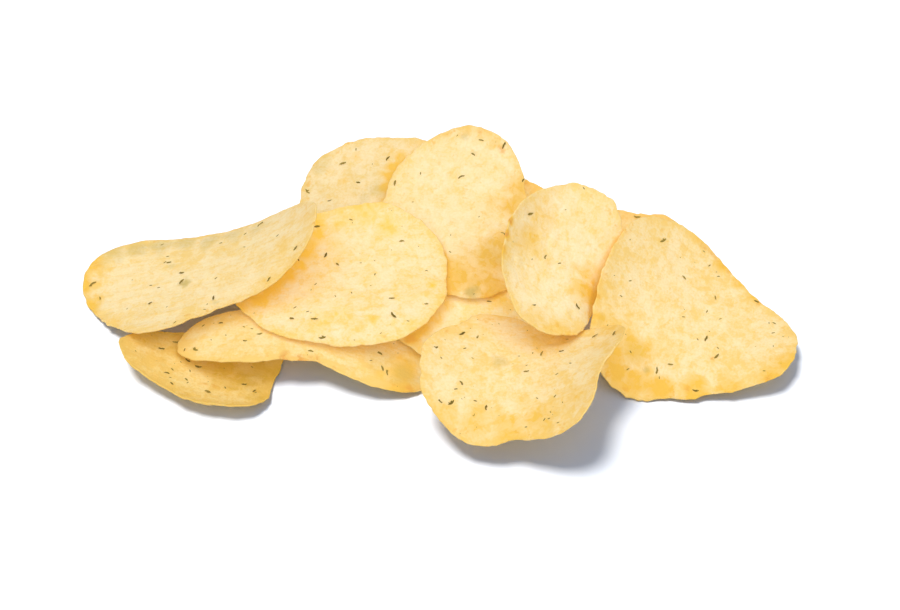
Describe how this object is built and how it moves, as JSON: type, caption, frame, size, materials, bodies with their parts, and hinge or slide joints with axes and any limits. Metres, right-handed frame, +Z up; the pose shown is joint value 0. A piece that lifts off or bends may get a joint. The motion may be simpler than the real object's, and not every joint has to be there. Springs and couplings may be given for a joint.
{
  "type": "heap of herb-flecked potato crisps",
  "caption": "Loose heap of thin, bent, golden potato crisps with fused flakes of dried herb, lying on a bare surface as it fell.",
  "frame": {"origin": "middle of the heap's footprint, on the surface it lies on", "axes": "+X along the heap's length toward the large crisp at the right, +Y away from the picture's viewer, +Z up"},
  "size_m": [0.197, 0.1138, 0.0304],
  "materials": {
    "left_front_crisp": "matt fried potato, herb flakes",
    "long_under_crisp": "matt fried potato, herb flakes",
    "back_under_crisp": "matt fried potato, herb flakes",
    "right_under_crisp": "matt fried potato, herb flakes",
    "middle_under_crisp": "matt fried potato, herb flakes",
    "back_left_crisp": "matt fried potato, herb flakes",
    "back_tall_crisp": "matt fried potato, herb flakes",
    "right_large_crisp": "matt fried potato, herb flakes",
    "front_crisp": "matt fried potato, herb flakes",
    "upright_oval_crisp": "matt fried potato, herb flakes",
    "middle_top_crisp": "matt fried potato, herb flakes",
    "left_curled_crisp": "matt fried potato, herb flakes"
  },
  "bodies": {
    "root": {"left_front_crisp": "left_front_crisp", "long_under_crisp": "long_under_crisp", "back_under_crisp": "back_under_crisp", "right_under_crisp": "right_under_crisp", "middle_under_crisp": "middle_under_crisp", "back_left_crisp": "back_left_crisp", "back_tall_crisp": "back_tall_crisp", "right_large_crisp": "right_large_crisp", "front_crisp": "front_crisp", "upright_oval_crisp": "upright_oval_crisp", "middle_top_crisp": "middle_top_crisp", "left_curled_crisp": "left_curled_crisp"}
  },
  "joints": []
}
